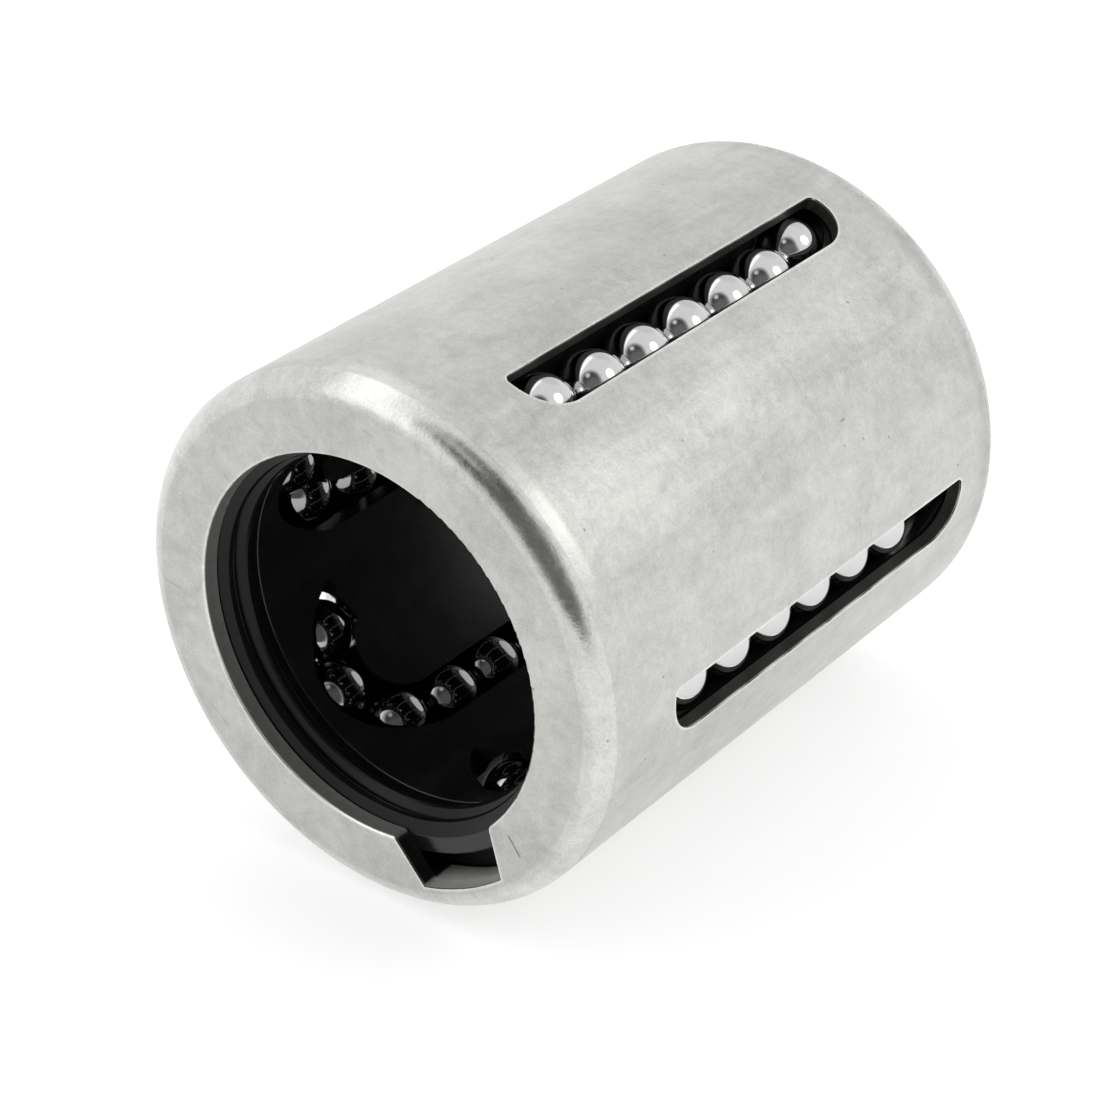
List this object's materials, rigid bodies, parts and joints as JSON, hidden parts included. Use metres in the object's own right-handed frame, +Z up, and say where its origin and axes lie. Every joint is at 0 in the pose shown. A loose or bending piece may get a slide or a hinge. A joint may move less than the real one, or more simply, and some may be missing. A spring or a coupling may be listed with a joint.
{
  "type": "linear ball bushing",
  "caption": "Compact sealed linear ball bushing: slotted steel sleeve, plastic cage, lip seals and recirculating ball circuits that carry a round shaft.",
  "frame": {"origin": "middle of the bushing, on the bore axis half way between the end faces", "axes": "+Y along the bore from the notched front face to the rear face, +Z up as the bushing lies on its side with its first return slot 23 degrees past the top"},
  "size_m": [0.024, 0.03, 0.024],
  "materials": {
    "sleeve_steel": "satin, tumbled and lightly worn",
    "cage_plastic": "moulded, slightly glossy",
    "seal_rubber": "satin",
    "ball_steel": "mirror polished"
  },
  "bodies": {
    "housing": {"outer_sleeve": "sleeve_steel", "ball_cage": "cage_plastic", "front_seal": "seal_rubber", "rear_seal": "seal_rubber"},
    "circuit_1_loaded": {"circuit_1_loaded_balls": "ball_steel"},
    "circuit_1_return": {"circuit_1_return_balls": "ball_steel"},
    "circuit_1_front_turn": {"circuit_1_front_turn_balls": "ball_steel"},
    "circuit_1_rear_turn": {"circuit_1_rear_turn_balls": "ball_steel"},
    "circuit_2_loaded": {"circuit_2_loaded_balls": "ball_steel"},
    "circuit_2_return": {"circuit_2_return_balls": "ball_steel"},
    "circuit_2_front_turn": {"circuit_2_front_turn_balls": "ball_steel"},
    "circuit_2_rear_turn": {"circuit_2_rear_turn_balls": "ball_steel"},
    "circuit_3_loaded": {"circuit_3_loaded_balls": "ball_steel"},
    "circuit_3_return": {"circuit_3_return_balls": "ball_steel"},
    "circuit_3_front_turn": {"circuit_3_front_turn_balls": "ball_steel"},
    "circuit_3_rear_turn": {"circuit_3_rear_turn_balls": "ball_steel"},
    "circuit_4_loaded": {"circuit_4_loaded_balls": "ball_steel"},
    "circuit_4_return": {"circuit_4_return_balls": "ball_steel"},
    "circuit_4_front_turn": {"circuit_4_front_turn_balls": "ball_steel"},
    "circuit_4_rear_turn": {"circuit_4_rear_turn_balls": "ball_steel"},
    "circuit_5_loaded": {"circuit_5_loaded_balls": "ball_steel"},
    "circuit_5_return": {"circuit_5_return_balls": "ball_steel"},
    "circuit_5_front_turn": {"circuit_5_front_turn_balls": "ball_steel"},
    "circuit_5_rear_turn": {"circuit_5_rear_turn_balls": "ball_steel"}
  },
  "joints": [
    {"name": "circuit_1_loaded_slide", "type": "slide", "parent": "housing", "child": "circuit_1_loaded", "axis": [0, 1, 0], "range_m": [-0.00115, 0.00185]},
    {"name": "circuit_1_return_slide", "type": "slide", "parent": "housing", "child": "circuit_1_return", "axis": [0, -1, 0], "range_m": [-0.00115, 0.00185]},
    {"name": "circuit_1_front_turn", "type": "hinge", "parent": "housing", "child": "circuit_1_front_turn", "pos_m": [0.00095, -0.0068, 0.00923], "axis": [-0.0177, -0.0911, -0.9957], "range_deg": [-21.8, 35.07]},
    {"name": "circuit_1_rear_turn", "type": "hinge", "parent": "housing", "child": "circuit_1_rear_turn", "pos_m": [0.00095, 0.0085, 0.00923], "axis": [-0.0177, 0.0911, -0.9957], "range_deg": [-21.8, 35.07]},
    {"name": "circuit_2_loaded_slide", "type": "slide", "parent": "housing", "child": "circuit_2_loaded", "axis": [0, 1, 0], "range_m": [-0.00075, 0.00225]},
    {"name": "circuit_2_return_slide", "type": "slide", "parent": "housing", "child": "circuit_2_return", "axis": [0, -1, 0], "range_m": [-0.00075, 0.00225]},
    {"name": "circuit_2_front_turn", "type": "hinge", "parent": "housing", "child": "circuit_2_front_turn", "pos_m": [0.00907, -0.0068, 0.00194], "axis": [-0.9524, -0.0911, -0.2908], "range_deg": [-14.22, 42.65]},
    {"name": "circuit_2_rear_turn", "type": "hinge", "parent": "housing", "child": "circuit_2_rear_turn", "pos_m": [0.00907, 0.0085, 0.00194], "axis": [-0.9524, 0.0911, -0.2908], "range_deg": [-14.22, 42.65]},
    {"name": "circuit_3_loaded_slide", "type": "slide", "parent": "housing", "child": "circuit_3_loaded", "axis": [0, 1, 0], "range_m": [-0.0012, 0.0018]},
    {"name": "circuit_3_return_slide", "type": "slide", "parent": "housing", "child": "circuit_3_return", "axis": [0, -1, 0], "range_m": [-0.0012, 0.0018]},
    {"name": "circuit_3_front_turn", "type": "hinge", "parent": "housing", "child": "circuit_3_front_turn", "pos_m": [0.00465, -0.0068, -0.00803], "axis": [-0.5709, -0.0911, 0.8159], "range_deg": [-22.75, 34.12]},
    {"name": "circuit_3_rear_turn", "type": "hinge", "parent": "housing", "child": "circuit_3_rear_turn", "pos_m": [0.00465, 0.0085, -0.00803], "axis": [-0.5709, 0.0911, 0.8159], "range_deg": [-22.75, 34.12]},
    {"name": "circuit_4_loaded_slide", "type": "slide", "parent": "housing", "child": "circuit_4_loaded", "axis": [0, 1, 0], "range_m": [-0.0016, 0.0014]},
    {"name": "circuit_4_return_slide", "type": "slide", "parent": "housing", "child": "circuit_4_return", "axis": [0, -1, 0], "range_m": [-0.0016, 0.0014]},
    {"name": "circuit_4_front_turn", "type": "hinge", "parent": "housing", "child": "circuit_4_front_turn", "pos_m": [-0.0062, -0.0068, -0.0069], "axis": [0.5996, -0.0911, 0.7951], "range_deg": [-30.33, 26.54]},
    {"name": "circuit_4_rear_turn", "type": "hinge", "parent": "housing", "child": "circuit_4_rear_turn", "pos_m": [-0.0062, 0.0085, -0.0069], "axis": [0.5996, 0.0911, 0.7951], "range_deg": [-30.33, 26.54]},
    {"name": "circuit_5_loaded_slide", "type": "slide", "parent": "housing", "child": "circuit_5_loaded", "axis": [0, 1, 0], "range_m": [-0.0017, 0.0013]},
    {"name": "circuit_5_return_slide", "type": "slide", "parent": "housing", "child": "circuit_5_return", "axis": [0, -1, 0], "range_m": [-0.0017, 0.0013]},
    {"name": "circuit_5_front_turn", "type": "hinge", "parent": "housing", "child": "circuit_5_front_turn", "pos_m": [-0.00848, -0.0068, 0.00376], "axis": [0.9415, -0.0911, -0.3245], "range_deg": [-32.23, 24.64]},
    {"name": "circuit_5_rear_turn", "type": "hinge", "parent": "housing", "child": "circuit_5_rear_turn", "pos_m": [-0.00848, 0.0085, 0.00376], "axis": [0.9415, 0.0911, -0.3245], "range_deg": [-32.23, 24.64]}
  ],
  "couplings": [
    {"joint": "circuit_1_return_slide", "follows": "circuit_1_loaded_slide", "ratio": 1},
    {"joint": "circuit_1_front_turn", "follows": "circuit_1_loaded_slide", "rad_per_m": 330.74},
    {"joint": "circuit_1_rear_turn", "follows": "circuit_1_loaded_slide", "rad_per_m": 330.74},
    {"joint": "circuit_2_return_slide", "follows": "circuit_2_loaded_slide", "ratio": 1},
    {"joint": "circuit_2_front_turn", "follows": "circuit_2_loaded_slide", "rad_per_m": 330.74},
    {"joint": "circuit_2_rear_turn", "follows": "circuit_2_loaded_slide", "rad_per_m": 330.74},
    {"joint": "circuit_3_return_slide", "follows": "circuit_3_loaded_slide", "ratio": 1},
    {"joint": "circuit_3_front_turn", "follows": "circuit_3_loaded_slide", "rad_per_m": 330.74},
    {"joint": "circuit_3_rear_turn", "follows": "circuit_3_loaded_slide", "rad_per_m": 330.74},
    {"joint": "circuit_4_return_slide", "follows": "circuit_4_loaded_slide", "ratio": 1},
    {"joint": "circuit_4_front_turn", "follows": "circuit_4_loaded_slide", "rad_per_m": 330.74},
    {"joint": "circuit_4_rear_turn", "follows": "circuit_4_loaded_slide", "rad_per_m": 330.74},
    {"joint": "circuit_5_return_slide", "follows": "circuit_5_loaded_slide", "ratio": 1},
    {"joint": "circuit_5_front_turn", "follows": "circuit_5_loaded_slide", "rad_per_m": 330.74},
    {"joint": "circuit_5_rear_turn", "follows": "circuit_5_loaded_slide", "rad_per_m": 330.74}
  ]
}
